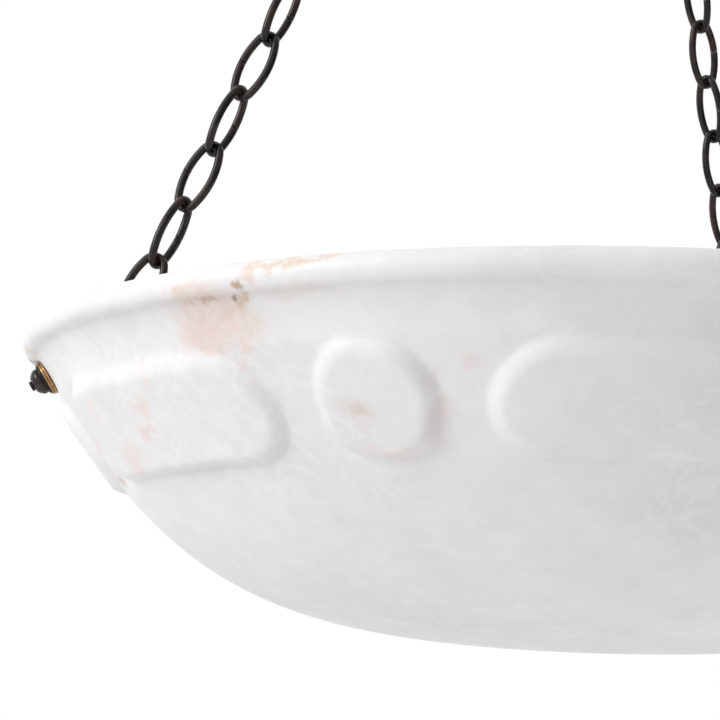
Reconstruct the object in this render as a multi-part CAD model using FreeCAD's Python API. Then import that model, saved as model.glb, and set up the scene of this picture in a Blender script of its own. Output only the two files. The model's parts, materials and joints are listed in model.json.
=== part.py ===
import FreeCAD, Part
import math
import os
from FreeCAD import Vector

# Alabaster bowl pendant: a carved stone bowl on three bronze chains below a ceiling canopy.
# Millimetres and degrees, Z up, origin at the ceiling on the pendant's axis.
# The front is -Y. "Radial plane" means the upright plane through the axis and a chain.

# ---- bowl: insets from the lip's widest line, drops below the rim -----------------------------
bowl_radius = 300.0          # lip at its widest
bowl_depth = 151.3           # rim to the outside of the bottom
bowl_wall = 12.5
bowl_floor = 15.0
lip_top_inset = 7.0          # where the lip's roll meets its flat top
lip_widest_drop = 5.8
lip_foot_inset = 3.7
lip_drop = 12.8
lip_width = 21.0             # roll and flat top together, to the inside of the bowl
lip_inner_round = 4.0
crease_inset = 8.0           # sharp inner corner under the lip
cove_width = 12.0
cove_height = 18.7
cove_sag = 1.0
band_width = 36.2            # how far the band comes in over its height
band_height = 47.7
dome_round_share = 0.35      # how much of the dome is parabola, the rest is a flatter curve
dome_flat_power = 4.65

# ---- carved band -----------------------------------------------------------------------------
relief_rise = 5.0
relief_edge = 4.0
relief_root = 5.0
relief_margin = 1.4          # band left plain above and below the carving
relief_count = 6             # discs, with as many long cartouches between them
cartouche_span = 39.6        # degrees
first_azimuth = -170.8       # first chain, and the disc below it
chain_count = 3

# ---- wall bolts, from the seat on the cove outwards and inwards -------------------------------
bolt_radius = 3.0
thread_clearance = 0.05
sleeve_wall = 1.0
sleeve_clearance = 0.2
seat_clearance = 0.4
fibre_radius = 8.6
fibre_thickness = 0.5
brass_ring_radius = 9.6
brass_ring_thickness = 1.3
brass_step_radius = 9.3
brass_step_thickness = 1.2
collar_radius = 8.7
collar_step_radius = 7.8
collar_height = 1.6
finial_radius = 6.9
finial_height = 5.4
finial_button_radius = 2.7
finial_button_height = 1.4
finial_thread_depth = 4.2
rubber_radius = 8.8
rubber_thickness = 2.0
inner_washer_radius = 9.4
inner_washer_thickness = 1.2
eye_nut_flats = 13.0
eye_nut_height = 6.0
eye_neck_radius = 3.2
eye_neck_length = 16.1
ring_radius = 7.0            # wire's centre line
ring_wire = 2.3
ring_sink = 0.8              # how far a ring sinks into the foot that carries it

# ---- chain -----------------------------------------------------------------------------------
link_wire = 2.15
link_inner_length = 33.45
link_inner_width = 12.8
link_end_radius = 5.7        # wire's centre line
link_seam = 0.3
link_count = 16
link_turn = 30.0             # links stand this far round from the radial plane's square
link_end_turn = 12.0
link_play = 0.05

# ---- hub -------------------------------------------------------------------------------------
hub_eye_radius = 27.5
hub_eye_depth = 26.0
hub_rim_radius = 36.0
hub_shoulder_radius = 30.0
hub_neck_radius = 13.0
hub_top_radius = 9.0
hub_drop_radius = 9.0
hub_drop_height = 9.0
hub_tip_radius = 1.5
eye_shank_radius = 2.4
eye_shank_length = 8.0
eye_collar_radius = 4.5
eye_collar_height = 2.2
loop_shank_radius = 4.0
loop_shank_length = 12.0

# ---- top link and its two loops --------------------------------------------------------------
top_link_wire = 2.4
top_link_inner_length = 40.0
top_link_inner_width = 19.0
top_link_end_radius = 9.0
loop_radius = 9.0
loop_wire = 2.6
loop_foot_height = 6.0

# ---- canopy and its fixings -------------------------------------------------------------------
canopy_radius = 70.0
canopy_height = 38.0
canopy_wall = 1.2
canopy_rim_height = 4.0
canopy_bead = 3.0
canopy_crown_radius = 24.0
canopy_hole_clearance = 0.3
neck_radius = 13.2
neck_above_canopy = 9.0
ring_nut_radius = 19.0
ring_nut_height = 9.0
neck_below_nut = 2.0
crossbar_length = 112.0
crossbar_width = 22.0
crossbar_thickness = 2.5
box_screw_spacing = 88.9
slot_length = 16.0
slot_radius = 2.4
nipple_radius = 4.9
nipple_bore = 3.6
nipple_overlap = 8.0         # thread that reaches into the loop's neck
locknut_flats = 16.0
locknut_height = 4.0

# ---- lamp cluster inside the bowl ------------------------------------------------------------
arm_width = 16.0
arm_thickness = 2.5
arm_bend_radius = 7.0
arm_tab_above = 9.0
arm_tab_below = 11.0
arm_inner_end = 17.0
cup_radius = 42.0
cup_height = 34.0
cup_wall = 1.5
cup_cover_overhang = 1.5
cup_corner = 5.0
cover_screw_radius = 2.0
cover_screw_head = 4.0
cover_screw_head_height = 2.4
cover_screw_length = 6.0
cover_screw_circle = 28.0
bush_radius = 5.0
bush_flange_radius = 8.0
bush_bore = 3.2
bush_height = 9.0
holder_radius = 19.0
holder_length = 44.0
holder_cap_radius = 15.0
holder_cap_length = 9.0
holder_wall = 3.2
holder_floor = 6.0
shell_bore = 13.3
shell_wall = 0.5
shell_length = 26.0
contact_radius = 4.0
contact_height = 3.0
holder_nipple_length = 14.0
holder_nut_flats = 14.0
holder_nut_height = 3.0

ORIGIN = Vector(0, 0, 0)
UP = Vector(0, 0, 1)
OUT = Vector(1, 0, 0)
ASIDE = Vector(0, 1, 0)


# ---- shapes that many pieces use --------------------------------------------------------------
def outline(start, *steps):
    """Closed face in the XZ plane. A step is a point, or a middle and an end point of an arc."""
    edges = []
    here = Vector(start[0], 0, start[1])
    for step in steps:
        if isinstance(step[0], tuple):
            middle = Vector(step[0][0], 0, step[0][1])
            there = Vector(step[1][0], 0, step[1][1])
            edges.append(Part.Arc(here, middle, there).toShape())
        else:
            there = Vector(step[0], 0, step[1])
            edges.append(Part.makeLine(here, there))
        here = there
    edges.append(Part.makeLine(here, Vector(start[0], 0, start[1])))
    return Part.Face(Part.Wire(edges))


def turned(start, *steps):
    """Solid of revolution about Z from an outline of (radius, height) points."""
    return outline(start, *steps).revolve(ORIGIN, UP, 360)


def rod(radius, low, high):
    return Part.makeCylinder(radius, high - low, Vector(0, 0, low))


def tube(radius, bore, low, high):
    return rod(radius, low, high).cut(rod(bore, low, high))


def hexagon(flats, low, high, bore):
    """Nut with both ends turned off at the corners."""
    corner = flats / math.sqrt(3)
    corners = [Vector(corner * math.cos(math.radians(60 * n)),
                      corner * math.sin(math.radians(60 * n)), low) for n in range(7)]
    prism = Part.Face(Part.makePolygon(corners)).extrude(Vector(0, 0, high - low))
    chamfer = corner - flats / 2
    rounding = turned((0, low), (flats / 2, low), (corner, low + chamfer),
                      (corner, high - chamfer), (flats / 2, high), (0, high))
    return prism.common(rounding).cut(rod(bore, low, high))


def frame(along, across):
    """Rotation that takes X to along and Y to across."""
    return FreeCAD.Rotation(along, across, along.cross(across), "XYZ")


def placed(shape, position, rotation):
    copy = shape.copy()
    copy.Placement = FreeCAD.Placement(position, rotation).multiply(copy.Placement)
    return copy


def around(shape, count, start=0.0):
    """Equal copies about the axis, as one group of separate solids."""
    copies = []
    for n in range(count):
        copy = shape.copy()
        copy.rotate(ORIGIN, UP, start + 360.0 * n / count)
        copies.extend(copy.Solids)
    return Part.makeCompound(copies)


def bend(wire, centre, radius, first, last):
    """Round wire bent about a centre in the XY plane, between two angles in radians."""
    spoke = Vector(math.cos(first), math.sin(first), 0)
    section = Part.Face(Part.Wire([Part.makeCircle(wire, centre + spoke * radius, UP.cross(spoke))]))
    return section.revolve(centre, UP, math.degrees(last - first))


def oval_link(inner_length, inner_width, end_radius, wire, seam):
    """Link of round wire, long along X: two tight end arcs and two shallow side arcs.

    The ends of the wire meet in a butt seam in the middle of one side."""
    end_centre = inner_length / 2 + wire - end_radius
    half_width = inner_width / 2 + wire
    spare = half_width - end_radius
    side_centre = (end_centre ** 2 - spare ** 2) / (2 * spare)
    side_radius = half_width + side_centre
    lean = math.atan2(end_centre, side_centre)
    half_seam = math.asin(seam / 2 / side_radius)
    quarter = math.pi / 2
    near, far = Vector(0, -side_centre, 0), Vector(0, side_centre, 0)
    left, right = Vector(-end_centre, 0, 0), Vector(end_centre, 0, 0)
    first = bend(wire, near, side_radius, quarter + half_seam, quarter + lean)
    return first.fuse([bend(wire, left, end_radius, quarter + lean, 3 * quarter - lean),
                       bend(wire, far, side_radius, 3 * quarter - lean, 3 * quarter + lean),
                       bend(wire, right, end_radius, 3 * quarter + lean, 5 * quarter - lean),
                       bend(wire, near, side_radius, quarter - lean, quarter - half_seam)])


# ---- places that follow from the sizes --------------------------------------------------------
lip_top_radius = bowl_radius - lip_top_inset
lip_foot_radius = bowl_radius - lip_foot_inset
lip_inner_radius = bowl_radius - lip_width
crease_radius = bowl_radius - crease_inset
band_top_radius = crease_radius - cove_width
band_top_drop = lip_drop + cove_height
band_foot_radius = band_top_radius - band_width
band_foot_drop = band_top_drop + band_height

cove_length =math.hypot(crease_radius - band_top_radius, band_top_drop - lip_drop)
bolt_out = Vector((band_top_drop - lip_drop) / cove_length, 0, -(crease_radius - band_top_radius) / cove_length)
bolt_down = Vector(bolt_out.z, 0, -bolt_out.x)
seat = Vector((crease_radius + band_top_radius) / 2 - cove_sag * bolt_out.x, 0,
              -(lip_drop + band_top_drop) / 2 - cove_sag * bolt_out.z)
seat = seat - bolt_down * (cove_length * 0.12)

band_length = math.hypot(band_top_radius - band_foot_radius, band_foot_drop - band_top_drop)
band_down = Vector(band_foot_radius - band_top_radius, 0, band_top_drop - band_foot_drop) / band_length
band_out = Vector(-band_down.z, 0, band_down.x)
band_middle = Vector((band_top_radius + band_foot_radius) / 2, 0, -(band_top_drop + band_foot_drop) / 2)
inner_band_top = Vector(band_top_radius, 0, -band_top_drop) - band_out * bowl_wall
inner_band_foot = Vector(band_foot_radius, 0, -band_foot_drop) - band_out * bowl_wall

# The bolt meets the wall's inner face, which leans less than the cove outside, so the washers
# there are sunk until they seat flat all round.
inner_lip_foot = Vector(lip_inner_radius, 0, -lip_inner_round)
inner_face = inner_band_top - inner_lip_foot
to_face = inner_lip_foot - seat
bolt_wall = ((to_face.z * inner_face.x - to_face.x * inner_face.z)
             / (bolt_out.x * inner_face.z - bolt_out.z * inner_face.x))
inner_seat = bolt_wall - inner_washer_radius / math.tan(inner_face.getAngle(bolt_out))
tab_start = inner_seat + rubber_thickness + inner_washer_thickness
nut_start = tab_start + arm_thickness
nut_end = nut_start + eye_nut_height
neck_end = nut_end + eye_neck_length
eye_root = seat - bolt_out * neck_end

# Each chain hangs straight from a hub eye to a bowl eye, so its lean follows from its length.
link_half = link_inner_length / 2 + link_wire
link_pitch = link_inner_length - link_play
link_hook = link_half - link_wire - ring_wire - link_play
pull_length = (link_count - 1) * link_pitch + 2 * link_hook + 4 * ring_radius
eye_stand = eye_collar_height + ring_wire - ring_sink
chain_lean = math.asin((eye_root.x - hub_eye_radius) / (pull_length + eye_stand))
chain_up = Vector(-math.sin(chain_lean), 0, math.cos(chain_lean))
chain_out = Vector(math.cos(chain_lean), 0, math.sin(chain_lean))

# Heights from the ceiling down.
nut_bottom = -canopy_height - ring_nut_height
neck_bottom = nut_bottom - neck_below_nut
loop_centre = neck_bottom - loop_foot_height - loop_radius
top_link_half = top_link_inner_length / 2 + top_link_wire
top_link_centre = loop_centre - loop_radius + loop_wire + top_link_wire + link_play - top_link_half
hub_loop_centre = top_link_centre - top_link_half + loop_wire + top_link_wire + link_play - loop_radius
hub_top = hub_loop_centre - loop_radius - loop_foot_height
rim = hub_top - hub_eye_depth - (pull_length + eye_stand) * math.cos(chain_lean) - eye_root.z
arm_turn = math.acos(-bolt_down.x)
arm_corner = arm_bend_radius * math.tan(arm_turn / 2)
arm_level = (seat - bolt_out * (tab_start + arm_thickness / 2) + bolt_down * (arm_tab_below + arm_corner)).z
lamp_azimuth = first_azimuth + 180.0 / chain_count


def lifted(shape, height):
    copy = shape.copy()
    copy.translate(Vector(0, 0, height))
    return copy


def on_bolt(shape):
    """Moves a piece from the Z axis, outwards up, to the first bolt's seat in the XZ plane."""
    return placed(shape, seat + Vector(0, 0, rim), frame(bolt_down, ASIDE))


def on_bolts(shape):
    return around(on_bolt(shape), chain_count, first_azimuth)


# ---- the stone bowl ---------------------------------------------------------------------------
def dome(foot_radius, foot_height, pole_height):
    """Curve from the pole to the foot of the band: part parabola, part flatter power curve."""
    rise = foot_height - pole_height
    points = []
    for n in range(11):
        share = n / 10
        lift = dome_round_share * share ** 2 + (1 - dome_round_share) * share ** dome_flat_power
        points.append(Vector(foot_radius * share, 0, pole_height + rise * lift))
    slope = 2 * dome_round_share + dome_flat_power * (1 - dome_round_share)
    curve = Part.BSplineCurve()
    curve.interpolate(Points=points, InitialTangent=Vector(foot_radius, 0, 0),
                      FinalTangent=Vector(foot_radius, 0, rise * slope))
    return curve.toShape()


def bowl_ground():
    """The bowl before carving: rolled lip, crease, cove, straight band and dome, one wall thick."""
    pole = Vector(0, 0, -bowl_depth)
    foot = Vector(band_foot_radius, 0, -band_foot_drop)
    top = Vector(band_top_radius, 0, -band_top_drop)
    crease = Vector(crease_radius, 0, -lip_drop)
    lip_foot = Vector(lip_foot_radius, 0, -lip_drop)
    lip_top = Vector(lip_top_radius, 0, 0)
    cove = (crease + top) / 2 - bolt_out * cove_sag
    lip_edge = Vector(lip_inner_radius + lip_inner_round, 0, 0)
    turn = lip_inner_round * (1 - math.sqrt(0.5))
    inner_pole = Vector(0, 0, bowl_floor - bowl_depth)
    edges = [
        dome(band_foot_radius, -band_foot_drop, -bowl_depth),
        Part.makeLine(foot, top),
        Part.Arc(top, cove, crease).toShape(),
        Part.makeLine(crease, lip_foot),
        Part.Arc(lip_foot, Vector(bowl_radius, 0, -lip_widest_drop), lip_top).toShape(),
        Part.makeLine(lip_top, lip_edge),
        Part.Arc(lip_edge, Vector(lip_inner_radius + turn, 0, -turn), inner_lip_foot).toShape(),
        Part.makeLine(inner_lip_foot, inner_band_top),
        Part.makeLine(inner_band_top, inner_band_foot),
        dome(inner_band_foot.x, inner_band_foot.z, inner_pole.z),
        Part.makeLine(inner_pole, pole),
    ]
    return Part.Face(Part.Wire(Part.__sortEdges__(edges))).revolve(ORIGIN, UP, 360)


def relief_outline(whole):
    """Section through a raised form, square to the band: whole, or from its middle outwards."""
    half = band_length / 2 - relief_margin
    shoulder = relief_rise - relief_edge
    turn = relief_edge * (1 - math.sqrt(0.5))

    def at(along, out):
        point = band_middle + band_down * along + band_out * out
        return (point.x, point.z)

    lower = [at(half, -relief_root), at(half, shoulder),
             (at(half - turn, relief_rise - turn), at(half - relief_edge, relief_rise))]
    if not whole:
        return outline(at(0, -relief_root), *lower, at(0, relief_rise))
    return outline(at(-half, -relief_root), *lower, at(relief_edge - half, relief_rise),
                   (at(turn - half, relief_rise - turn), at(-half, shoulder)))


def carved_disc():
    return relief_outline(False).revolve(band_middle, band_out, 360)


def carved_cartouche():
    """Long form that follows the band, with half-round ends."""
    end_angle = math.degrees(math.asin((band_length / 2 - relief_margin) / band_middle.x))
    reach = cartouche_span / 2 - end_angle
    body = relief_outline(True).revolve(ORIGIN, UP, 2 * reach)
    body.rotate(ORIGIN, UP, -reach)
    right = relief_outline(False).revolve(band_middle, band_out, 180)
    left = right.copy()
    left.rotate(band_middle, band_out, 180)
    left.rotate(ORIGIN, UP, -reach)
    right.rotate(ORIGIN, UP, reach)
    return [body, left, right]


def alabaster_bowl():
    pitch = 360.0 / relief_count
    forms = list(around(carved_disc(), relief_count, first_azimuth).Solids)
    for piece in carved_cartouche():
        forms.extend(around(piece, relief_count, first_azimuth + pitch / 2).Solids)
    bowl = lifted(bowl_ground().fuse(forms), rim)
    reach = brass_ring_radius + seat_clearance
    hole = bolt_radius + thread_clearance + sleeve_wall + sleeve_clearance
    drill = rod(hole, -inner_seat - reach, reach)
    outer_face = rod(reach, 0, collar_height + brass_ring_thickness + brass_step_thickness + lip_drop / 2)
    inner_spot = rod(inner_washer_radius + seat_clearance, -inner_seat - reach, -inner_seat)
    tools = on_bolts(drill.fuse([outer_face, inner_spot]))
    return bowl.cut(tools.Solids)


# ---- wall bolts and their pieces --------------------------------------------------------------
def round_ring(radius, low, high, bore):
    """Flat ring with a half-round outer edge."""
    half = (high - low) / 2
    return turned((bore, low), (radius - half, low), ((radius, low + half), (radius - half, high)), (bore, high))


bolt_bore = bolt_radius + thread_clearance
ring_low = fibre_thickness
step_low = ring_low + brass_ring_thickness
collar_low = step_low + brass_step_thickness
finial_low = collar_low + collar_height


def wall_bolt():
    return rod(bolt_radius, -nut_end + 1.0, finial_low + finial_thread_depth - 0.2)


def wall_sleeve():
    return tube(bolt_bore + sleeve_wall, bolt_bore, -inner_seat, 0)


def step_collar():
    """Two turned steps between the brass rings and the finial."""
    middle = collar_low + collar_height / 2
    turn = collar_height / 4
    return turned((bolt_bore, collar_low), (collar_radius - turn, collar_low),
                  ((collar_radius, collar_low + turn), (collar_radius - turn, middle)),
                  (collar_step_radius - turn, middle),
                  ((collar_step_radius, middle + turn), (collar_step_radius - turn, finial_low)),
                  (bolt_bore, finial_low))


def finial():
    """Domed cap nut with a turned button on its end."""
    shoulder = finial_low + finial_height
    button = shoulder + finial_button_height
    rise = finial_height * 0.62
    edge = finial_radius * 0.84
    turn = finial_button_height / 2
    body = turned((0, finial_low), (finial_radius * 0.96, finial_low),
                  ((finial_radius, finial_low + finial_height * 0.18), (edge, finial_low + rise)),
                  ((finial_radius * 0.64, shoulder - finial_height * 0.12), (finial_button_radius * 0.85, shoulder)),
                  (finial_button_radius - turn / 2, shoulder),
                  ((finial_button_radius, shoulder + turn), (finial_button_radius - turn / 2, button)),
                  (0, button + turn / 3))
    return body.cut(rod(bolt_bore, finial_low, finial_low + finial_thread_depth))


def ring(radius, wire, centre, axis):
    return Part.makeTorus(radius, wire, centre, axis)


def eye_nut():
    """Six-sided nut with a neck, and an eye set over to face the pull of the chain."""
    nut = hexagon(eye_nut_flats, -nut_end, -nut_start, bolt_bore)
    neck = rod(eye_neck_radius, -neck_end, -nut_end + 0.6)
    fitted = on_bolt(nut.fuse(neck))
    root = eye_root + Vector(0, 0, rim)
    bead = Part.makeSphere(eye_neck_radius, root)
    eye = ring(ring_radius, ring_wire, root + chain_up * ring_radius, chain_out)
    return fitted.fuse([bead, eye])


# ---- chains -----------------------------------------------------------------------------------
def chain():
    """Links threaded through each other, each turned a quarter from the last."""
    master = oval_link(link_inner_length, link_inner_width, link_end_radius, link_wire, link_seam)
    first = eye_root + Vector(0, 0, rim) + chain_up * (2 * ring_radius + link_hook)
    links = []
    for n in range(link_count):
        end = n in (0, link_count - 1)
        turn = math.radians((link_end_turn if end else link_turn) + 90 * (n % 2))
        across = chain_out * math.cos(turn) - ASIDE * math.sin(turn)
        links.append(placed(master, first + chain_up * (link_pitch * n), frame(chain_up, across)))
    return Part.makeCompound(links)


# ---- hub --------------------------------------------------------------------------------------
hub_face = hub_top - hub_eye_depth
eye_face = Vector(hub_eye_radius, 0, hub_face)


def hub_height(radius):
    """Height of the hub's underside, a cone square to the chains."""
    return hub_face + (radius - hub_eye_radius) * math.tan(chain_lean)


def hub():
    """Turned bronze body with a cone below, where the three eyes screw in."""
    rim_height = hub_height(hub_rim_radius)
    lip = (hub_top - rim_height) * 0.16
    neck_foot = hub_top - hub_eye_depth * 0.16
    shoulder = rim_height + 3 * lip
    drop_root = hub_height(hub_drop_radius)
    body = turned((0, hub_top), (hub_top_radius, hub_top),
                  ((hub_top_radius + 1.2, hub_top - 1.6), (hub_top_radius, hub_top - 3.2)),
                  (hub_neck_radius - 3.0, neck_foot),
                  ((hub_neck_radius + 4.0, (neck_foot + shoulder) / 2 - 1.5), (hub_shoulder_radius, shoulder)),
                  (hub_rim_radius - lip, shoulder - lip / 2),
                  ((hub_rim_radius, rim_height + 1.2 * lip), (hub_rim_radius - lip / 2, hub_height(hub_rim_radius - lip / 2))),
                  (hub_drop_radius, drop_root),
                  ((hub_drop_radius * 0.8, drop_root - hub_drop_height * 0.62), (hub_tip_radius, drop_root - hub_drop_height)),
                  (0, drop_root - hub_drop_height))
    socket = rod(loop_shank_radius + thread_clearance, hub_top - loop_shank_length, hub_top)
    pilot = rod(eye_shank_radius + thread_clearance, 0, eye_shank_length)
    pilots = around(placed(pilot, eye_face, frame(chain_out, ASIDE)), chain_count, first_azimuth)
    return body.cut([socket] + pilots.Solids)


def hub_eye():
    shank = rod(eye_shank_radius, -eye_collar_height, eye_shank_length - 0.4)
    collar = round_ring(eye_collar_radius, -eye_collar_height, 0, eye_shank_radius / 2)
    foot = placed(shank.fuse(collar), eye_face, frame(chain_out, ASIDE))
    return foot.fuse(ring(ring_radius, ring_wire, eye_face - chain_up * (eye_stand + ring_radius), ASIDE))


# ---- top link and loops -----------------------------------------------------------------------
def loop_foot(low, high, wide):
    """Flared foot that narrows to the middle of a loop's wire."""
    narrow = loop_wire * 0.85
    waist = narrow + (wide - narrow) * 0.3
    return turned((0, low), (wide, low), ((waist, low + (high - low) * 0.4), (narrow, high)), (0, high))


def top_link():
    master = oval_link(top_link_inner_length, top_link_inner_width, top_link_end_radius, top_link_wire, link_seam)
    return placed(master, Vector(0, 0, top_link_centre), frame(UP, ASIDE))


def hub_loop():
    foot = loop_foot(hub_top, hub_top + loop_foot_height, hub_top_radius - 0.6)
    shank = rod(loop_shank_radius, hub_top - loop_shank_length + 0.4, hub_top)
    return foot.fuse([shank, ring(loop_radius, loop_wire, Vector(0, 0, hub_loop_centre), ASIDE)])


def ceiling_loop():
    """Threaded neck that takes the nipple above and carries the ring below."""
    neck_top = -canopy_height + neck_above_canopy
    neck = rod(neck_radius, neck_bottom, neck_top)
    taper = loop_foot(0, loop_foot_height, neck_radius)
    taper = placed(taper, Vector(0, 0, neck_bottom), FreeCAD.Rotation(OUT, 180))
    body = neck.fuse([taper, ring(loop_radius, loop_wire, Vector(0, 0, loop_centre), ASIDE)])
    bore = rod(nipple_radius + thread_clearance, neck_top - nipple_overlap, neck_top)
    wire_way = rod(nipple_bore, neck_bottom + loop_wire, neck_top)
    side_exit = Part.makeCylinder(nipple_bore, neck_radius * 2, Vector(0, 0, neck_bottom + loop_wire + nipple_bore), ASIDE)
    return body.cut([bore, wire_way, side_exit.common(rod(nipple_bore * 1.5, neck_bottom, neck_top))])


# ---- canopy and fixings -----------------------------------------------------------------------
def canopy_form(inset):
    """Bell from the ceiling down to a flat crown; inset gives the hollow inside it."""
    edge = canopy_radius - inset
    bead = edge - canopy_bead
    crown = canopy_crown_radius - inset
    floor = -canopy_height + inset
    rim_foot = -canopy_rim_height
    middle = (rim_foot + floor) / 2
    return turned((0, 0), (edge, 0), ((edge + 0.4, rim_foot / 2), (edge, rim_foot)),
                  (bead, rim_foot - canopy_bead * 0.5),
                  ((bead * 0.86, middle + canopy_height * 0.13), ((bead + crown) / 2, middle)),
                  ((crown * 1.16, middle - canopy_height * 0.12), (crown, floor + inset * 0.5 + 1.5)),
                  (crown - 1.5, floor), (0, floor))


def canopy():
    hollow = canopy_form(canopy_wall)
    hole = rod(neck_radius + canopy_hole_clearance, -canopy_height - 1, 0)
    return canopy_form(0.0).cut([hollow, hole])


def ring_nut():
    """Knurled nut on the loop's neck that holds the canopy up."""
    low = nut_bottom
    high = -canopy_height - link_play
    groove = 0.8
    return turned((neck_radius + thread_clearance, low), (ring_nut_radius - 3.0, low),
                  ((ring_nut_radius - 0.9, low + 1.1), (ring_nut_radius, low + 3.0)),
                  (ring_nut_radius - groove, low + 3.0 + groove), (ring_nut_radius - groove, high - 2.4 - groove),
                  (ring_nut_radius, high - 2.4), ((ring_nut_radius - 0.4, high - 0.8), (ring_nut_radius - 1.6, high)),
                  (neck_radius + thread_clearance, high))


def crossbar():
    """Flat strap against the ceiling box, with a slot each side for the box's screws."""
    bar = Part.makeBox(crossbar_length, crossbar_width, crossbar_thickness,
                       Vector(-crossbar_length / 2, -crossbar_width / 2, -crossbar_thickness))
    upright = [edge for edge in bar.Edges if abs(edge.tangentAt(edge.FirstParameter).z) > 0.9]
    bar = bar.makeFillet(crossbar_width * 0.3, upright)
    cuts = [rod(nipple_radius + thread_clearance, -crossbar_thickness, 0)]
    straight = slot_length - 2 * slot_radius
    for side in (-1, 1):
        middle = side * box_screw_spacing / 2
        cuts.append(Part.makeBox(straight, 2 * slot_radius, crossbar_thickness,
                                 Vector(middle - straight / 2, -slot_radius, -crossbar_thickness)))
        for end in (-1, 1):
            cuts.append(Part.makeCylinder(slot_radius, crossbar_thickness,
                                          Vector(middle + end * straight / 2, 0, -crossbar_thickness)))
    return bar.cut(cuts)


def nipple():
    return tube(nipple_radius, nipple_bore, -canopy_height + neck_above_canopy - nipple_overlap + 0.5, 0)


def locknut():
    return hexagon(locknut_flats, -crossbar_thickness - locknut_height, -crossbar_thickness,
                   nipple_radius + thread_clearance)


# ---- lamp cluster -----------------------------------------------------------------------------
cover_top = arm_level - arm_thickness / 2
cup_top = cover_top - cup_wall
holder_level = cup_top - cup_height / 2


def lamp_arm():
    """Bent strap: a tab on the wall bolt, a bend, and a level run in to the cup."""
    middle = seat - bolt_out * (tab_start + arm_thickness / 2)
    top = middle - bolt_down * arm_tab_above
    start = middle + bolt_down * arm_tab_below
    corner = start + bolt_down * arm_corner
    finish = corner - OUT * arm_corner
    centre = start - bolt_out * arm_bend_radius
    halfway = (corner - centre).normalize() * arm_bend_radius + centre
    inner = Vector(arm_inner_end, 0, finish.z)
    path = Part.Wire([Part.makeLine(top, start), Part.Arc(start, halfway, finish).toShape(),
                      Part.makeLine(finish, inner)])
    side = ASIDE * (arm_width / 2)
    thick = bolt_out * (arm_thickness / 2)
    corners = [top - side - thick, top + side - thick, top + side + thick, top - side + thick, top - side - thick]
    strap = path.makePipeShell([Part.makePolygon(corners)], True, False)
    strap = lifted(strap, rim)
    bolt_hole = on_bolt(rod(bolt_bore, -nut_start - arm_thickness, -tab_start + arm_thickness))
    screw_hole = rod(cover_screw_radius + thread_clearance, rim + cover_top - 1, rim + arm_level + arm_thickness)
    screw_hole.translate(OUT * cover_screw_circle)
    return strap.cut([bolt_hole, screw_hole])


def cup():
    """Round junction cup, open above, with a hole in its side for each lampholder."""
    low = cup_top - cup_height
    turn = cup_corner * (1 - math.sqrt(0.5))
    inner = cup_radius - cup_wall
    small = cup_corner - cup_wall
    small_turn = small * (1 - math.sqrt(0.5))
    body = turned((0, low), (cup_radius - cup_corner, low),
                  ((cup_radius - turn, low + turn), (cup_radius, low + cup_corner)), (cup_radius, cup_top), (0, cup_top))
    hollow = turned((0, low + cup_wall), (inner - small, low + cup_wall),
                    ((inner - small_turn, low + cup_wall + small_turn), (inner, low + cup_corner)),
                    (inner, cup_top), (0, cup_top))
    side_hole = Part.makeCylinder(nipple_radius + thread_clearance, cup_radius, Vector(0, 0, holder_level), OUT)
    return lifted(body.cut([hollow] + around(side_hole, chain_count, lamp_azimuth).Solids), rim)


def cup_cover():
    edge = cup_radius + cup_cover_overhang
    plate = turned((0, cup_top), (edge, cup_top), (edge, cover_top - 0.4), (edge - 0.4, cover_top), (0, cover_top))
    hole = rod(bush_radius + thread_clearance, cup_top, cover_top)
    screw = rod(cover_screw_radius + thread_clearance, cup_top, cover_top)
    screw.translate(OUT * cover_screw_circle)
    return lifted(plate.cut([hole] + around(screw, chain_count, first_azimuth).Solids), rim)


def cover_screw():
    """Round-headed screw through an arm and the cover."""
    head = arm_level + arm_thickness / 2
    crown = head + cover_screw_head_height
    screw = turned((0, head - cover_screw_length), (cover_screw_radius, head - cover_screw_length),
                   (cover_screw_radius, head), (cover_screw_head, head),
                   ((cover_screw_head * 0.76, crown - cover_screw_head_height * 0.3), (0, crown)))
    slot = Part.makeBox(0.8, cover_screw_head * 2, 1.0, Vector(-0.4, -cover_screw_head, crown - 0.9))
    screw = lifted(screw.cut(slot), rim)
    screw.translate(OUT * cover_screw_circle)
    return screw


def cord_bush():
    """Inlet bush for the supply cord, in the middle of the cover."""
    flange = cover_top + bush_height * 0.3
    return lifted(turned((bush_bore, cup_top - 2.0), (bush_radius, cup_top - 2.0), (bush_radius, cover_top),
                         (bush_flange_radius, cover_top), (bush_flange_radius, flange),
                         ((bush_radius + 0.6, flange + 0.9), (bush_radius, cover_top + bush_height)),
                         ((bush_bore + 0.5, cover_top + bush_height - 0.2), (bush_bore, cover_top + bush_height - 1.2))),
                  rim)


holder_start = cup_radius
holder_mouth = holder_start + holder_cap_length + holder_length
holder_seat = holder_start + holder_cap_length + holder_floor


def on_holder(shape):
    """Moves a piece from the Z axis, mouth up, to each lampholder's place."""
    laid = placed(shape, Vector(0, 0, holder_level + rim), FreeCAD.Rotation(ASIDE, 90))
    return around(laid, chain_count, lamp_azimuth)


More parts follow.
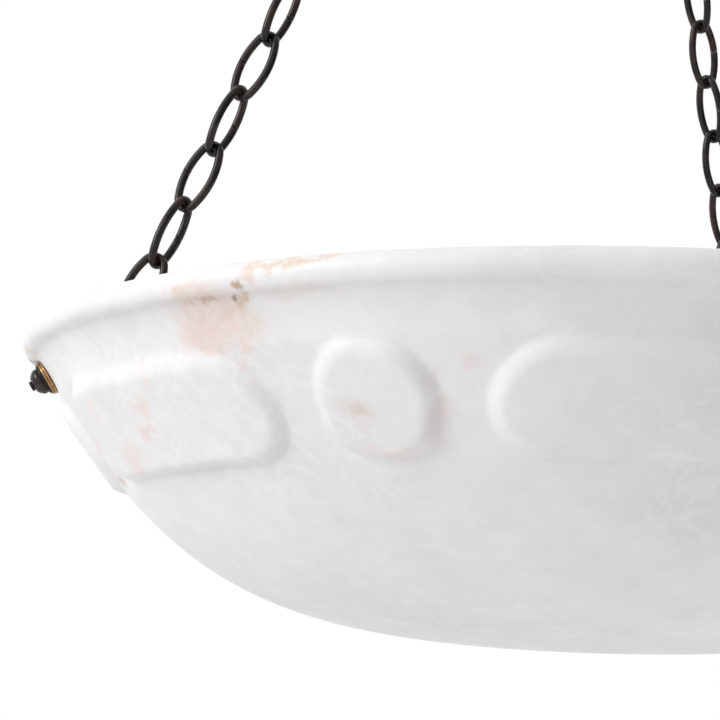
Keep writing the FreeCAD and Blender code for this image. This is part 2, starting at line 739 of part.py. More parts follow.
def holder_body():
    """Glazed ceramic lampholder: a rear cap, a shoulder and an open skirt."""
    shoulder = holder_start + holder_cap_length
    bore = holder_radius - holder_wall
    body = turned((0, holder_start), (holder_cap_radius - 1.5, holder_start),
                  ((holder_cap_radius - 0.4, holder_start + 0.4), (holder_cap_radius, holder_start + 1.5)),
                  (holder_cap_radius, shoulder - 1.0), ((holder_cap_radius + 1.2, shoulder + 0.6), (holder_radius, shoulder + 2.0)),
                  (holder_radius, holder_mouth - 1.6), ((holder_radius - 0.5, holder_mouth - 0.5),
                                                       (holder_radius - 1.6, holder_mouth)), (0, holder_mouth))
    way = nipple_radius + thread_clearance
    return body.cut([rod(bore, holder_seat, holder_mouth), rod(way, holder_start, holder_start + holder_cap_length * 0.8)])


def holder_shell():
    """Brass shell that the lamp cap turns into, standing on the holder's floor."""
    high = holder_seat + shell_length
    outer = shell_bore + shell_wall
    return turned((contact_radius + 2.0, holder_seat), (outer, holder_seat), (outer, high), (shell_bore, high),
                  (shell_bore, holder_seat + shell_wall), (contact_radius + 2.0, holder_seat + shell_wall))


def holder_contact():
    high = holder_seat + contact_height
    return turned((0, holder_seat), (contact_radius, holder_seat), (contact_radius, high - 1.4),
                  ((contact_radius * 0.8, high - 0.4), (contact_radius * 0.5, high)), (0, high))


def holder_nipple():
    low = holder_start + holder_cap_length * 0.8 - 0.3 - holder_nipple_length
    return tube(nipple_radius, nipple_bore, low, holder_start + holder_cap_length * 0.8 - 0.3)


def holder_nut():
    """Nut against the cup's round wall, which it meets with the rim of its end face."""
    inner = math.sqrt((cup_radius - cup_wall) ** 2 - (holder_nut_flats / 2) ** 2) - thread_clearance
    return hexagon(holder_nut_flats, inner - holder_nut_height, inner, nipple_radius + thread_clearance)


# ---- every piece ------------------------------------------------------------------------------
nodes = {
    "ceiling_crossbar": crossbar(),
    "stem_nipple": nipple(),
    "stem_locknut": locknut(),
    "ceiling_loop": ceiling_loop(),
    "canopy": canopy(),
    "canopy_ring_nut": ring_nut(),
    "top_link": top_link(),
    "hub_loop": hub_loop(),
    "chain_hub": hub(),
    "hub_eyes": around(hub_eye(), chain_count, first_azimuth),
    "alabaster_bowl": alabaster_bowl(),
    "bowl_eye_nuts": around(eye_nut(), chain_count, first_azimuth),
    "wall_bolts": on_bolts(wall_bolt()),
    "wall_sleeves": on_bolts(wall_sleeve()),
    "fibre_washers": on_bolts(tube(fibre_radius, bolt_bore, 0, fibre_thickness)),
    "brass_rings": on_bolts(round_ring(brass_ring_radius, ring_low, step_low, bolt_bore)),
    "brass_step_rings": on_bolts(round_ring(brass_step_radius, step_low, collar_low, bolt_bore)),
    "bronze_collars": on_bolts(step_collar()),
    "rubber_washers": on_bolts(tube(rubber_radius, bolt_bore, -inner_seat - rubber_thickness, -inner_seat)),
    "inner_washers": on_bolts(tube(inner_washer_radius, bolt_bore, -tab_start, -inner_seat - rubber_thickness)),
    "lamp_arms": around(lamp_arm(), chain_count, first_azimuth),
    "junction_cup": cup(),
    "cup_cover": cup_cover(),
    "cover_screws": around(cover_screw(), chain_count, first_azimuth),
    "cord_bush": cord_bush(),
    "lampholder_bodies": on_holder(holder_body()),
    "lampholder_shells": on_holder(holder_shell()),
    "lampholder_contacts": on_holder(holder_contact()),
    "lampholder_nipples": on_holder(holder_nipple()),
    "lampholder_nuts": on_holder(holder_nut()),
}
chain_shape = chain()
finial_shape = on_bolt(finial())
for number in range(chain_count):
    azimuth = first_azimuth + 360.0 * number / chain_count
    nodes["chain_%d" % (number + 1)] = around(chain_shape, 1, azimuth)
    nodes["finial_%d" % (number + 1)] = around(finial_shape, 1, azimuth)

os.makedirs("parts", exist_ok=True)
for name, shape in nodes.items():
    shape.exportStep("parts/%s.step" % name)
    print(name, len(shape.Solids), "solids", shape.isValid(), round(shape.Volume))
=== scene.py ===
import json
import math

import bpy
import numpy as np
from mathutils import Matrix, Vector


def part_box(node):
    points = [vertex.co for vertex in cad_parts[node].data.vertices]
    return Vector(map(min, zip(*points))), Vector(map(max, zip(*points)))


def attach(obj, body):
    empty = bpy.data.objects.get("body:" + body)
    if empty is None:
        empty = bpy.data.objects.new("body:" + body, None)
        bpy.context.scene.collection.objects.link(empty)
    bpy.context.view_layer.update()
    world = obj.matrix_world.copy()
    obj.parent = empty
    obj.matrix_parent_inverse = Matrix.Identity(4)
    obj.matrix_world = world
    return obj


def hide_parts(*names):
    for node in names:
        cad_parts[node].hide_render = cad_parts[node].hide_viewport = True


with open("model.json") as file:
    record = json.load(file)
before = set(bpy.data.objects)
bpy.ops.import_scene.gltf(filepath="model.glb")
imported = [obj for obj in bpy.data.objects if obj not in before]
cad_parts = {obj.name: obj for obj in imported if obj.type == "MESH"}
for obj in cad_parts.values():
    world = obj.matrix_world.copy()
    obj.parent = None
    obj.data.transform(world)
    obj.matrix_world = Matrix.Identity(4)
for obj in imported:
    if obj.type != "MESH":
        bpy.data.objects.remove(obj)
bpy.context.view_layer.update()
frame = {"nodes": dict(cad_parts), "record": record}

# Alabaster bowl pendant. Lengths are in metres unless a name ends in _mm; heights in the
# profiles are in millimetres from the bowl's rim, and radii from the pendant's axis.
MM = 0.001
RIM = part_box("alabaster_bowl")[1][2]
FIRST_CHAIN = math.radians(-170.8)
CHAINS = 3


# ---- camera -------------------------------------------------------------------------------
def aim_camera():
    """The photograph's view: a long lens a little below the rim, turned slightly left and up."""
    yaw, pitch, roll = (math.radians(a) for a in (-6.481, 8.685, 1.908))
    ahead = Vector((math.sin(yaw) * math.cos(pitch), math.cos(yaw) * math.cos(pitch), math.sin(pitch)))
    level = Vector((math.cos(yaw), -math.sin(yaw), 0.0))
    above = level.cross(ahead)
    across = level * math.cos(roll) + above * math.sin(roll)
    upward = above * math.cos(roll) - level * math.sin(roll)
    data = bpy.data.cameras.new("photograph_view")
    data.sensor_width = 36.0
    data.lens = 36.0 * 2164.2 / 720
    data.clip_end = 50.0
    camera = bpy.data.objects.new("photograph_view", data)
    turn = Matrix((across, upward, -ahead)).transposed().to_4x4()
    camera.matrix_world = Matrix.Translation((0.0, -1.1253, RIM - 0.1744)) @ turn
    bpy.context.collection.objects.link(camera)
    bpy.context.scene.camera = camera


aim_camera()


# ---- shader maths -------------------------------------------------------------------------
class Flow:
    """A socket whose Python operators add Math nodes."""

    def __init__(self, board, socket):
        self.board = board
        self.socket = socket

    def _math(self, operation, *values, clamp=False):
        return self.board.node("ShaderNodeMath", {"operation": operation, "use_clamp": clamp}, *values)

    def __add__(self, other):
        return self._math("ADD", self, other)

    def __radd__(self, other):
        return self._math("ADD", other, self)

    def __sub__(self, other):
        return self._math("SUBTRACT", self, other)

    def __rsub__(self, other):
        return self._math("SUBTRACT", other, self)

    def __mul__(self, other):
        return self._math("MULTIPLY", self, other)

    def __rmul__(self, other):
        return self._math("MULTIPLY", other, self)

    def __abs__(self):
        return self._math("ABSOLUTE", self)

    def held(self):
        return self._math("ADD", self, 0.0, clamp=True)

    def rise(self, low, high):
        """0 below low, 1 above high, with a smooth step between."""
        return self.board.node("ShaderNodeMapRange", {"interpolation_type": "SMOOTHSTEP"}, self, low, high, 0.0, 1.0)


class Board:
    """The node tree of one material or world, filled from one method."""

    def __init__(self, owner):
        self.owner = owner
        owner.use_nodes = True
        self.tree = owner.node_tree
        self.tree.nodes.clear()

    def node(self, kind, settings=None, *values, out=0, **named):
        """Adds a node, sets its settings, then its sockets by order or by name, and gives one output."""
        made = self.tree.nodes.new(kind)
        for key, value in (settings or {}).items():
            if key == "stops":
                ramp = made.color_ramp
                while len(ramp.elements) < len(value):
                    ramp.elements.new(0.5)
                for element, (place, colour) in zip(ramp.elements, value):
                    element.position = place
                    element.color = (*colour, 1.0)
            else:
                setattr(made, key, value)
        for index, value in enumerate(values):
            self._feed(made.inputs[index], value)
        for key, value in named.items():
            self._feed(made.inputs[key.replace("_", " ")], value)
        return Flow(self, made.outputs[out])

    def _feed(self, socket, value):
        if isinstance(value, Flow):
            self.tree.links.new(value.socket, socket)
        elif value is not None:
            socket.default_value = value

    def place(self):
        """Object coordinates, in metres."""
        return self.node("ShaderNodeTexCoord", out=3)

    def noise(self, where, scale, detail=3.0, roughness=0.5, distortion=0.0, out=0):
        return self.node("ShaderNodeTexNoise", {"noise_dimensions": "3D"}, out=out, Vector=where, Scale=scale,
                         Detail=detail, Roughness=roughness, Distortion=distortion)

    def stretch(self, where, factors):
        return self.node("ShaderNodeVectorMath", {"operation": "MULTIPLY"}, where, factors)

    def shift(self, where, step):
        return self.node("ShaderNodeVectorMath", {"operation": "ADD"}, where, step)

    def length(self, vector):
        return self.node("ShaderNodeVectorMath", {"operation": "LENGTH"}, vector, out=1)

    def mix(self, share, low, high):
        """Colour low where share is 0, high where it is 1."""
        made = self.tree.nodes.new("ShaderNodeMix")
        made.data_type = "RGBA"
        self._feed(made.inputs[0], share)
        for socket, value in ((made.inputs[6], low), (made.inputs[7], high)):
            self._feed(socket, value if isinstance(value, Flow) else (*value, 1.0))
        return Flow(self, made.outputs[2])

    def bump(self, height, strength, distance):
        return self.node("ShaderNodeBump", None, Strength=strength, Distance=distance, Height=height)

    def node_end(self, kind, last):
        """Output node, which has no output of its own."""
        self.tree.links.new(last.socket, self.tree.nodes.new(kind).inputs[0])

    def surface(self, **sockets):
        """Principled shader to the output."""
        shader = self.node("ShaderNodeBsdfPrincipled", None, **{
            key: ((*value, 1.0) if isinstance(value, tuple) and "Radius" not in key else value)
            for key, value in sockets.items()})
        self.node_end("ShaderNodeOutputMaterial", shader)
        return self.owner


# ---- materials ----------------------------------------------------------------------------
RUST, TAN, BLUSH = (0.50, 0.31, 0.17), (0.78, 0.60, 0.46), (0.80, 0.655, 0.605)
# The second colour on the next line is painted shade: it darkens the stone beside and under the carving, where shade
# falls.
UMBER, PAINTED_SHADE, PINK = (0.26, 0.16, 0.08), (0.68, 0.60, 0.58), (0.84, 0.70, 0.67)
# Stains, and painted shade beside and under the carving and under the lip: centre and size in millimetres from the
# rim's middle, colour, strength, and how far the grain breaks it up.
STAINS_AND_PAINTED_SHADE = (
    ((-164, -236, -20), (27, 26, 14.5), BLUSH, 0.95, 0.6),
    ((-174, -224, -27), (15, 15, 9), BLUSH, 0.8, 0.55),
    ((-178, -237, -11), (10, 9, 4.5), TAN, 0.6, 0.7),
    ((-171, -237, -12.8), (4, 4, 1.8), RUST, 0.85, 0.3),
    ((-166.5, -238.5, -14.4), (5, 4, 1.8), RUST, 0.7, 0.4),
    ((-150, -257, -11.2), (2.8, 4, 3.4), RUST, 0.8, 0.4),
    ((-152.5, -249, -13.6), (2.6, 3, 1.9), UMBER, 0.75, 0.3),
    ((-147, -250, -15.6), (5, 5, 4.5), (0.62, 0.44, 0.28), 0.75, 0.5),
    ((-148, -245, -22), (8, 8, 9), TAN, 0.55, 0.6),
    ((-144.6, -262, -7), (5.5, 4.5, 6), BLUSH, 0.95, 0.5),
    ((-139.6, -264, -2.8), (9, 6, 3.5), TAN, 0.8, 0.6),
    ((-127, -270, -3), (18, 10, 2.6), TAN, 0.9, 0.6),
    ((-114, -276, -2.8), (12, 6, 2.2), TAN, 0.6, 0.7),
    # painted shade in the cove under the lip, with a warm tint
    ((-124, -262, -14), (26, 13, 4), BLUSH, 0.3, 0.2),
    ((-150.5, -236, -32), (4.0, 5, 11), PINK, 0.85, 0.5),
    ((-150.7, -228, -41), (4.5, 5, 5), PINK, 0.6, 0.6),
    ((-235.7, -134, -43), (5.5, 8, 11), PINK, 0.55, 0.6),
    ((-200.3, -188, -38.6), (5, 7, 10), PINK, 0.6, 0.6),
    ((-203.8, -173.4, -48), (8, 10, 11), PINK, 0.85, 0.6),
    ((-202, -161, -59), (10, 11, 6), PINK, 0.9, 0.5),
    ((-238, -97, -60), (9, 14, 9), PINK, 0.6, 0.6),
    ((-213, -134.6, -69), (16, 18, 8), PINK, 0.7, 0.5),
    # painted shade under the lower edge of the long form at the left
    ((-178, -166, -78.5), (40, 34, 5), PAINTED_SHADE, 0.2, 0.1),
    # painted shade at the right end of that long form, this line and the next
    ((-134, -224, -55.7), (9, 9, 16), PAINTED_SHADE, 0.12, 0.1),
    ((-136, -212, -68), (11, 10, 12), PAINTED_SHADE, 0.12, 0.1),
    ((-241, -70, -76.5), (9, 13, 4.5), (0.66, 0.50, 0.42), 0.8, 0.3),
    ((-101, -241, -57), (10, 8, 11), (0.74, 0.62, 0.56), 0.85, 0.15),
    # painted shade along the disc's right edge, this line and the next two
    ((-69, -258, -48.8), (7, 7, 10), PAINTED_SHADE, 0.25, 0.1),
    ((-66, -250, -60), (8, 8, 12), (0.72, 0.60, 0.55), 0.4, 0.2),
    ((-66, -241, -71), (9, 8, 9), PAINTED_SHADE, 0.2, 0.1),
    ((-85, -232.6, -75.5), (17, 8, 3.5), PINK, 0.45, 0.3),
    ((-52, -266.5, -42.5), (4, 4, 7), PINK, 0.4, 0.4),
    ((-281, -83, -12.8), (7, 10, 2.5), TAN, 0.6, 0.4),
    # the remaining ones are on the back
    ((120, 240, -30), (24, 20, 14), BLUSH, 0.9, 0.5),
    ((122, 252, -13), (9, 7, 4), RUST, 0.7, 0.6),
    ((-60, 235, -80), (20, 16, 9), BLUSH, 0.7, 0.6),
    ((235, -60, -85), (14, 18, 8), BLUSH, 0.6, 0.6),
)


def alabaster():
    """White stone with cloudy grey tones, pale veins, faint crackle and rust-coloured stains, plus painted shade
    beside the carving and under the lip.
    """
    b = Board(bpy.data.materials.new("alabaster"))
    where = b.place()
    warp = b.noise(where, 26.0, 4.0, 0.6, out=1)
    warped = b.shift(where, b.stretch(warp, (0.02, 0.02, 0.02)))
    cloud = b.noise(warped, 9.0, 5.0, 0.62)
    mottle = b.noise(where, 55.0, 7.0, 0.72, 0.35)
    milk = b.noise(warped, 24.0, 6.0, 0.7, 0.5)
    crackle = abs(b.noise(where, 34.0, 5.0, 0.66, 0.6) - 0.5)
    tone = b.mix(cloud.rise(0.3, 0.72), (0.880, 0.873, 0.875), (0.815, 0.806, 0.809))
    tone = b.mix(mottle.rise(0.38, 0.7) * 0.2, tone, (0.72, 0.708, 0.710))
    tone = b.mix(milk.rise(0.46, 0.68) * 0.4, tone, (0.94, 0.937, 0.937))
    tone = b.mix((1.0 - crackle.rise(0.0, 0.05)) * cloud.rise(0.4, 0.6) * 0.3, tone, (0.95, 0.947, 0.947))
    wander = b.noise(where, 60.0, 5.0, 0.65, out=1)
    loose = b.shift(where, b.stretch(b.shift(wander, (-0.5, -0.5, -0.5)), (0.022, 0.022, 0.022)))
    grain = b.noise(warped, 120.0, 6.0, 0.7, 1.0)
    patchy = grain.rise(0.32, 0.62)

    def stain_or_painted_shade(centre_mm, size_mm, colour, strength, broken, base):
        """Blob of stain or of painted shade fading with the distance to its centre in units of its size; broken is
        how far grain breaks it up.
        """
        centre = (-centre_mm[0] * MM, -centre_mm[1] * MM, -centre_mm[2] * MM - RIM)
        away = b.length(b.stretch(b.shift(loose, centre), tuple(1.0 / (s * MM) for s in size_mm)))
        share = (1.0 - away.rise(0.35, 1.25)) * (patchy * (broken * strength) + (1.0 - broken) * strength)
        return b.mix(share.held(), base, colour)

    for centre, size, colour, strength, broken in STAINS_AND_PAINTED_SHADE:
        tone = stain_or_painted_shade(centre, size, colour, strength, broken, tone)
    shine = 0.34 + 0.16 * mottle.rise(0.3, 0.7)
    normal = b.bump(mottle * 0.6 + grain * 0.4, 0.2, 0.0006)
    return b.surface(Base_Color=tone, Roughness=shine, Normal=normal, Subsurface_Weight=0.18,
                     Subsurface_Radius=(0.9, 0.75, 0.6), Subsurface_Scale=0.012, Specular_IOR_Level=0.45)


def bronze(name, brown=0.6):
    """Oil-rubbed bronze under lacquer: near black, browner in worn patches, with glossy edges."""
    b = Board(bpy.data.materials.new(name))
    where = b.place()
    patch = b.noise(where, 60.0, 4.0, 0.6)
    fine = b.noise(where, 900.0, 3.0, 0.6)
    tone = b.mix(patch.rise(0.42, 0.7) * brown, (0.008, 0.007, 0.007), (0.050, 0.022, 0.014))
    rough = 0.14 + 0.12 * patch.rise(0.3, 0.7) + 0.05 * fine
    return b.surface(Base_Color=tone, Roughness=rough, Normal=b.bump(fine, 0.12, 0.0001),
                     Specular_IOR_Level=0.36, Coat_Weight=0.15, Coat_Roughness=0.05)


def polished_brass():
    """Lacquered brass with faint turning marks and duller spots."""
    b = Board(bpy.data.materials.new("polished_brass"))
    where = b.place()
    spots = b.noise(where, 180.0, 4.0, 0.6)
    tone = b.mix(spots.rise(0.4, 0.75), (0.56, 0.36, 0.17), (0.34, 0.20, 0.09))
    return b.surface(Base_Color=tone, Metallic=1.0, Roughness=0.16 + 0.14 * spots.rise(0.35, 0.7),
                     Normal=b.bump(b.noise(where, 1500.0, 2.0), 0.1, 0.0001))


def zinc_steel():
    """Bright zinc on steel, with a cloudy spangle."""
    b = Board(bpy.data.materials.new("zinc_steel"))
    where = b.place()
    spangle = b.node("ShaderNodeTexVoronoi", {"feature": "F1"}, Vector=where, Scale=260.0)
    haze = b.noise(where, 90.0, 3.0)
    tone = b.mix(haze.rise(0.35, 0.7), (0.62, 0.63, 0.63), (0.50, 0.51, 0.52))
    return b.surface(Base_Color=tone, Metallic=1.0, Roughness=0.28 + 0.15 * haze + 0.15 * spangle,
                     Normal=b.bump(spangle, 0.1, 0.0002))


def plain(name, light, dark, rough, grain_scale, metal=0.0):
    """Moulded or pressed material: two close tones, fine grain."""
    b = Board(bpy.data.materials.new(name))
    where = b.place()
    grain = b.noise(where, grain_scale, 4.0, 0.6)
    tone = b.mix(grain.rise(0.3, 0.7), light, dark)
    return b.surface(Base_Color=tone, Metallic=metal, Roughness=rough + 0.12 * grain,
                     Normal=b.bump(grain, 0.15, 0.0002))


STONE = alabaster()
BRONZE = bronze("bronze")
CHAIN_BRONZE = bronze("chain_bronze", 0.8)
BRASS = polished_brass()
ZINC = zinc_steel()
NYLON = plain("black_nylon", (0.03, 0.03, 0.03), (0.045, 0.044, 0.042), 0.45, 400.0)
FIBRE = plain("red_fibre", (0.30, 0.09, 0.05), (0.22, 0.06, 0.04), 0.6, 500.0)
RUBBER = plain("black_rubber", (0.02, 0.02, 0.02), (0.035, 0.034, 0.033), 0.75, 500.0)
PORCELAIN = plain("glazed_porcelain", (0.86, 0.85, 0.81), (0.80, 0.79, 0.75), 0.12, 60.0)

FINISH = {"alabaster": STONE, "bronze": BRONZE, "chain_bronze": CHAIN_BRONZE, "brass": BRASS, "zinc_steel": ZINC,
          "nylon": NYLON, "fibre": FIBRE, "rubber": RUBBER, "porcelain": PORCELAIN}
SLOT_OF = {row["node"]: row["material_slot"] for row in frame["record"]["subparts"]}
for name, node in frame["nodes"].items():
    node.data.materials.clear()
    node.data.materials.append(FINISH[SLOT_OF[name]])


# ---- surfaces -----------------------------------------------------------------------------
def piece(name, points, faces, material, node_names=()):
    """Mesh object at the origin from points in metres, smooth shaded, riding on the pendant."""
    mesh = bpy.data.meshes.new(name)
    mesh.from_pydata(points, [], faces)
    mesh.materials.append(material)
    mesh.polygons.foreach_set("use_smooth", np.ones(len(mesh.polygons), dtype=bool))
    mesh.update()
    made = bpy.data.objects.new(name, mesh)
    bpy.context.collection.objects.link(made)
    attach(made, "pendant")
    if node_names:
        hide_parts(*node_names)
    return made


def grid_faces(rows, columns, wrap):
    """Quads between neighbouring rows and columns; wrap joins the last column to the first."""
    last = columns if wrap else columns - 1
    row, column = np.meshgrid(np.arange(rows - 1), np.arange(last), indexing="ij")
    row, column = row.ravel(), column.ravel()
    after = (column + 1) % columns
    here, there = row * columns, (row + 1) * columns
    return np.column_stack((here + column, here + after, there + after, there + column))


# ---- the bowl -----------------------------------------------------------------------------
WALL, FLOOR, DEPTH = 12.5, 15.0, 151.3
BAND_TOP, BAND_FOOT = np.array((280.0, -31.5)), np.array((243.8, -79.2))
CREASE, LIP_FOOT, LIP_TOP = np.array((292.0, -12.8)), np.array((296.3, -12.8)), np.array((293.0, 0.0))
INNER_LIP = np.array((279.0, -4.0))
BAND_LENGTH = np.hypot(*(BAND_TOP - BAND_FOOT))
BAND_UP = (BAND_TOP - BAND_FOOT) / BAND_LENGTH
BAND_OUT = np.array((BAND_UP[1], -BAND_UP[0]))
BAND_MIDDLE = (BAND_TOP + BAND_FOOT) / 2
PERIOD = math.pi / 3
DISC_RADIUS = BAND_LENGTH / 2 - 1.4
HALF_STRAIGHT = math.radians(19.8) * BAND_MIDDLE[0] - DISC_RADIUS
RISE = 5.0
SEAT, SEAT_OUT = np.array((286.6, -19.37)), np.array((0.842, -0.540))
SEAT_RADIUS, SEAT_EASE, INNER_SEAT = 10.0, 1.2, 11.97


def dome(share, foot, pole):
    """Radius in proportion to share; height a mix of a parabola and a 4.65 power curve."""
    lift = 0.35 * share ** 2 + 0.65 * share ** 4.65
    return np.column_stack((foot[0] * share, pole + (foot[1] - pole) * lift))


def line(start, end, shares):
    """Points on a straight line at the given shares of its length."""
    return start + np.asarray(shares)[:, None] * (end - start)


def arc(start, middle, end, count):
    """Circular arc through three points, count points with both ends."""
    a, b, c = (complex(*p) for p in (start, middle, end))
    w = (c - a) / (b - a)
    centre = (b - a) * (w - abs(w) ** 2) / (2j * w.imag) + a
    first, last = np.angle(a - centre), np.angle(c - centre)
    turn = np.angle((c - centre) / (b - centre)) + np.angle((b - centre) / (a - centre))
    around = centre + abs(a - centre) * np.exp(1j * (first + turn * np.linspace(0, 1, count)))
    return np.column_stack((around.real, around.imag))


def bowl_profile():
    """(radius, height) from the outside of the bottom, over the lip, to the inside of the bottom."""
    cove = (CREASE + BAND_TOP) / 2 - SEAT_OUT
    inner_top = BAND_TOP - BAND_OUT * WALL
    inner_foot = BAND_FOOT - BAND_OUT * WALL
    lip_edge = INNER_LIP + np.array((4.0, 4.0))
    turn = INNER_LIP + np.array((4 - 4 * math.sqrt(0.5), 4 * math.sqrt(0.5)))
    near = 0.9 / BAND_LENGTH
    shares = np.concatenate(((near,), np.linspace(0.03, 0.97, 40), (1 - near,)))
    lean = np.linspace(0.055, 0.97, 22) ** 0.8
    return np.concatenate((
        dome(np.append(lean, 0.994), BAND_FOOT, -DEPTH),
        line(BAND_FOOT, BAND_TOP, shares),
        arc(BAND_TOP, cove, CREASE, 12)[1:-1],
        [CREASE + (-0.35, -0.5), CREASE + (0.6, -0.1)],
        line(CREASE, LIP_FOOT, (0.5, 0.9)),
        arc(LIP_FOOT, (300.0, -5.8), LIP_TOP, 13)[1:],
        line(LIP_TOP, lip_edge, (0.33, 0.66, 1.0)),
        arc(lip_edge, turn, INNER_LIP, 5)[1:],
        line(INNER_LIP, inner_top, (0.25, 0.5, 0.75, 0.97)),
        line(inner_top, inner_foot, (0.03, 0.3, 0.6, 0.97)),
        dome(np.linspace(0.985, 0.06, 15), inner_foot, FLOOR - DEPTH)))


def relief(azimuth, along):
    """Height of the carving above the band.

    The distance inside the edge of a disc, or of a long form with half-round ends, is turned
    into a height by a smooth step. Slow waves in that distance give the uneven edge of hand work."""
    turn = np.mod(azimuth - FIRST_CHAIN + PERIOD / 2, PERIOD) - PERIOD / 2
    far = np.mod(azimuth - FIRST_CHAIN, PERIOD) - PERIOD / 2
    radius = BAND_MIDDLE[0] + along * BAND_UP[0]
    bearing = np.arctan2(along, turn * radius)
    uneven = 0.55 * np.sin(4 * bearing + 0.8) + 0.35 * np.sin(7 * bearing + 3 * azimuth)
    across = np.abs(turn * radius * 1.06) ** 2.7
    disc = DISC_RADIUS - (across + np.abs(along) ** 2.7) ** (1 / 2.7) + uneven
    beyond = np.maximum(np.abs(far) * radius + 3.0 - HALF_STRAIGHT, 0.0)
    waves = 0.3 * np.sin(9 * azimuth + 0.06 * along) + 0.2 * np.sin(23 * azimuth)
    long_form = DISC_RADIUS - np.hypot(beyond, along) + waves
    inside = np.maximum(disc, long_form)
    share = np.clip((inside + 1.3) / 8.2, 0.0, 1.0)
    crown = 0.5 * np.clip(inside / DISC_RADIUS, 0.0, 1.0)
    edge = np.clip((BAND_LENGTH / 2 - np.abs(along)) / 1.4, 0.0, 1.0)
    return ((RISE - 0.4) * share ** 1.3 * (2.2 - 1.2 * share) + crown) * edge


def bowl():
    """Profile turned about the axis, with the relief added square to the band.

    Columns stand closer where the carved ends are. Points in front of a bolt's seat, inside
    and outside, are pressed back to its flat."""
    profile = bowl_profile()
    step = np.concatenate((np.linspace(-17, 17, 100, endpoint=False), np.linspace(17, 43, 28, endpoint=False)))
    azimuth = (FIRST_CHAIN + np.radians(step[None, :] + 60.0 * np.arange(6)[:, None])).ravel()
    radius, height = (np.repeat(profile[:, k:k + 1], len(azimuth), axis=1) for k in (0, 1))
    along = (profile - BAND_MIDDLE) @ BAND_UP
    off = np.abs((profile - BAND_MIDDLE) @ BAND_OUT)
    on_band = (off < 0.01) & (np.abs(along) < BAND_LENGTH / 2)
    raised = relief(azimuth[None, :], along[:, None]) * on_band[:, None]
    radius = radius + raised * BAND_OUT[0]
    height = height + raised * BAND_OUT[1]
    outer = np.arange(len(profile)) < np.argmax(profile[:, 1] >= 0.0)
    down = np.array((SEAT_OUT[1], -SEAT_OUT[0]))
    for chain in range(CHAINS):
        turn = azimuth - FIRST_CHAIN - 2 * math.pi * chain / CHAINS
        x = radius * np.cos(turn) - SEAT[0]
        y = radius * np.sin(turn)
        z = height - SEAT[1]
        depth = x * SEAT_OUT[0] + z * SEAT_OUT[1]
        away = np.hypot(x * down[0] + z * down[1], y)
        flat = 1.0 - np.clip((away - SEAT_RADIUS) / SEAT_EASE, 0.0, 1.0) ** 2
        flat = flat * (away < SEAT_RADIUS + SEAT_EASE) * (np.cos(turn) > 0.9)
        limit = np.where(outer[:, None], np.minimum(depth, 0.0), np.maximum(depth, -INNER_SEAT))
        change = (limit - depth) * flat
        x, z = x + SEAT[0] + change * SEAT_OUT[0], height + change * SEAT_OUT[1]
        radius, height = np.hypot(x, y), z
    points = np.stack((radius * np.cos(azimuth), radius * np.sin(azimuth), height + RIM / MM), axis=-1) * MM
    rows, columns = radius.shape
    count = rows * columns
    points = np.vstack((points.reshape(-1, 3), (0, 0, RIM - DEPTH * MM), (0, 0, RIM - (DEPTH - FLOOR) * MM)))
    ring = np.arange(columns)
    after = np.roll(ring, -1)
    top = (rows - 1) * columns
    faces = grid_faces(rows, columns, True).tolist()
    faces += np.column_stack((np.full(columns, count), after, ring)).tolist()
    faces += np.column_stack((np.full(columns, count + 1), ring + top, after + top)).tolist()
    return piece("alabaster_bowl_carved", points, faces, STONE, ("alabaster_bowl",))


bowl()


# ---- chains -------------------------------------------------------------------------------
LINK = {"inner_length": 33.45, "inner_width": 12.8, "end_radius": 5.7, "wire": 2.15, "seam": 0.3}
EYE_ROOT = (253.128, 2.112)
LEAN = 0.413555
RING, RING_WIRE = 7.0, 2.3
STAND, END_STAND = 30.0, 12.0
LINKS = 16
PLAY = 0.05


def oval_path(inner_length, inner_width, end_radius, wire, seam):
    """Centre line of a link: four arcs tangent to each other, open by the seam, with outward normals."""
    end_centre = inner_length / 2 + wire - end_radius
    half_width = inner_width / 2 + wire
    spare = half_width - end_radius
    side_centre = (end_centre ** 2 - spare ** 2) / (2 * spare)
    side_radius = half_width + side_centre
    lean = math.atan2(end_centre, side_centre)
    gap = seam / 2 / side_radius
    quarter = math.pi / 2
    parts = []
    for centre, radius, first, last, count in (
            ((0, -side_centre), side_radius, quarter + gap, quarter + lean, 9),
            ((-end_centre, 0), end_radius, quarter + lean, 3 * quarter - lean, 15),
            ((0, side_centre), side_radius, 3 * quarter - lean, 3 * quarter + lean, 15),
            ((end_centre, 0), end_radius, 3 * quarter + lean, 5 * quarter - lean, 15),
            ((0, -side_centre), side_radius, quarter - lean, quarter - gap, 9)):
        angle = np.linspace(first, last, count)
        if parts:
            angle = angle[1:]
        spoke = np.column_stack((np.cos(angle), np.sin(angle)))
        parts.append(np.hstack((np.array(centre) + spoke * radius, spoke)))
    return np.concatenate(parts)


def wire_link(shape, sides=20):
    """Round wire swept along the oval: centre + wire * (cos t * outward + sin t * across), capped at the seam."""
    path = oval_path(**shape)
    angle = np.linspace(0, 2 * math.pi, sides, endpoint=False)
    centre = np.column_stack((path[:, :2], np.zeros(len(path))))
    outward = np.column_stack((path[:, 2:], np.zeros(len(path))))
    across = np.array((0.0, 0.0, 1.0))
    points = (centre[:, None, :] + shape["wire"] * (np.cos(angle)[None, :, None] * outward[:, None, :]
                                                    + np.sin(angle)[None, :, None] * across))
    faces = grid_faces(len(path), sides, True)[:, ::-1]
    last = (len(path) - 1) * sides
    caps = [list(range(sides)), [last + k for k in reversed(range(sides))]]
    return points.reshape(-1, 3), faces.tolist(), caps


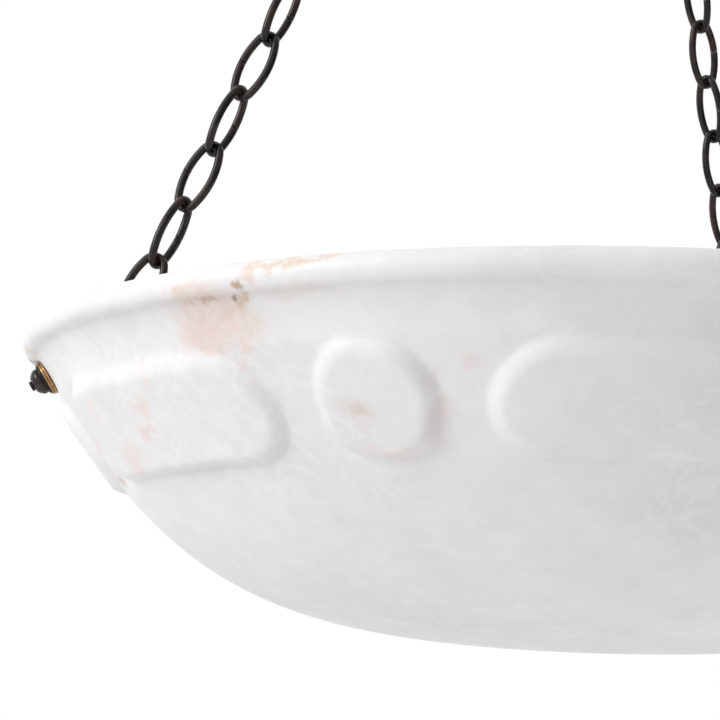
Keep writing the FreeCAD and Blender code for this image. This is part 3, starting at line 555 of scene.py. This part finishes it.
def chain(number):
    """Links on the line from the bowl's eye to the hub's eye, each turned a quarter from the last."""
    turn = FIRST_CHAIN + 2 * math.pi * number / CHAINS
    radial = np.array((math.cos(turn), math.sin(turn), 0.0))
    aside = np.array((-math.sin(turn), math.cos(turn), 0.0))
    upward = np.array((0.0, 0.0, 1.0))
    along = upward * math.cos(LEAN) - radial * math.sin(LEAN)
    out = radial * math.cos(LEAN) + upward * math.sin(LEAN)
    half = LINK["inner_length"] / 2 + LINK["wire"]
    hook = half - LINK["wire"] - RING_WIRE - PLAY
    start = radial * EYE_ROOT[0] + upward * (EYE_ROOT[1] + RIM / MM) + along * (2 * RING + hook)
    base, faces, caps = wire_link(LINK)
    points, all_faces = [], []
    for n in range(LINKS):
        stand = math.radians((END_STAND if n in (0, LINKS - 1) else STAND) + 90.0 * (n % 2))
        across = out * math.cos(stand) - aside * math.sin(stand)
        third = np.cross(along, across)
        centre = start + along * (LINK["inner_length"] - PLAY) * n
        points.append(centre + base @ np.array((along, across, third)))
        shift = n * len(base)
        all_faces += [[v + shift for v in f] for f in faces + caps]
    node = "chain_%d" % (number + 1)
    return piece(node + "_links", np.concatenate(points) * MM, all_faces, CHAIN_BRONZE, (node,))


for number in range(CHAINS):
    chain(number)


# ---- floor, light -------------------------------------------------------------------------
def floor():
    """Plain pale floor well below the bowl."""
    size, level = 6.0, RIM - 1.6
    mesh = bpy.data.meshes.new("studio_floor")
    mesh.from_pydata([(-size, -size, level), (size, -size, level), (size, size, level), (-size, size, level)], [],
                     [(0, 1, 2, 3)])
    b = Board(bpy.data.materials.new("pale_floor"))
    tone = b.noise(b.place(), 2.0, 2.0)
    b.surface(Base_Color=b.mix(tone, (0.87, 0.87, 0.87), (0.89, 0.89, 0.89)), Roughness=0.9)
    mesh.materials.append(b.owner)
    made = bpy.data.objects.new("studio_floor", mesh)
    bpy.context.collection.objects.link(made)


def softbox(name, place, target, width, height, power):
    """Area light aimed at a point."""
    data = bpy.data.lights.new(name, "AREA")
    data.shape = "RECTANGLE"
    data.size = width
    data.size_y = height
    data.energy = power
    made = bpy.data.objects.new(name, data)
    made.location = place
    made.rotation_euler = (Vector(target) - Vector(place)).to_track_quat("-Z", "Y").to_euler()
    bpy.context.collection.objects.link(made)


def studio():
    """White surround, darker to the right and below, so the stone shades across as in daylight."""
    world = bpy.data.worlds.new("studio")
    bpy.context.scene.world = world
    b = Board(world)
    way = b.node("ShaderNodeTexCoord", out=0)
    side = b.node("ShaderNodeVectorMath", {"operation": "DOT_PRODUCT"}, way, (0.78, -0.42, -0.46), out=1)
    shade = b.node("ShaderNodeValToRGB", {"stops": [(0.0, (1.0, 1.0, 1.0)), (0.4, (0.86, 0.86, 0.865)),
                                                    (1.0, (0.06, 0.06, 0.065))]}, side * 0.5 + 0.5)
    seen = b.node("ShaderNodeLightPath")
    colour = b.mix(seen, shade, (1.0, 1.0, 1.0))
    ground = b.node("ShaderNodeBackground", None, colour)
    b.node_end("ShaderNodeOutputWorld", ground)
    middle = (0.0, 0.0, RIM - 0.05)
    softbox("key_left", (-2.0, -1.3, RIM + 1.1), middle, 1.4, 1.4, 14.0)
    softbox("strip_left", (-1.9, -1.2, RIM + 0.7), middle, 0.1, 1.0, 8.0)
    softbox("fill_front", (-0.4, -2.6, RIM + 0.2), middle, 1.8, 1.8, 3.0)
    scene = bpy.context.scene
    scene.view_settings.view_transform = "Standard"
    scene.view_settings.look = "None"


floor()
studio()
